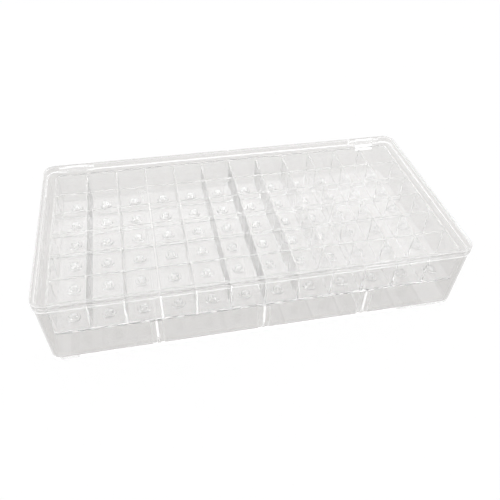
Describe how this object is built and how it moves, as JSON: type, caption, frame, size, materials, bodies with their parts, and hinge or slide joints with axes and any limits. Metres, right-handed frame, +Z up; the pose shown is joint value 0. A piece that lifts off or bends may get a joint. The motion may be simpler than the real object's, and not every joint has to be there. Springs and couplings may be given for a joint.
{
  "type": "bobbin box",
  "caption": "Clear flat sewing box: a hinged lid over a lift-out tray of square pegged bobbin cells, with open compartments below it.",
  "frame": {"origin": "middle of the closed box's bounding box, hinges included, at the height of the surface it stands on", "axes": "+X to the right seen from the front, +Y from the front to the hinges, +Z up"},
  "size_m": [0.29, 0.1542, 0.0558],
  "materials": {
    "clear_box": "polished, injection-moulded clear polystyrene",
    "clear_partition": "polished, injection-moulded clear polystyrene",
    "clear_tray": "injection-moulded clear polystyrene, slightly duller than the box",
    "clear_lid": "polished, injection-moulded clear polystyrene"
  },
  "bodies": {
    "base": {"base_box": "clear_box", "partition_left": "clear_partition", "partition_middle": "clear_partition", "partition_right": "clear_partition", "bobbin_tray": "clear_tray"},
    "lid": {"lid": "clear_lid"}
  },
  "joints": [
    {"name": "lid_hinge", "type": "hinge", "parent": "base", "child": "lid", "pos_m": [0, 0.0747, 0.04935], "axis": [-1, 0, 0], "range_deg": [0, 180]}
  ]
}
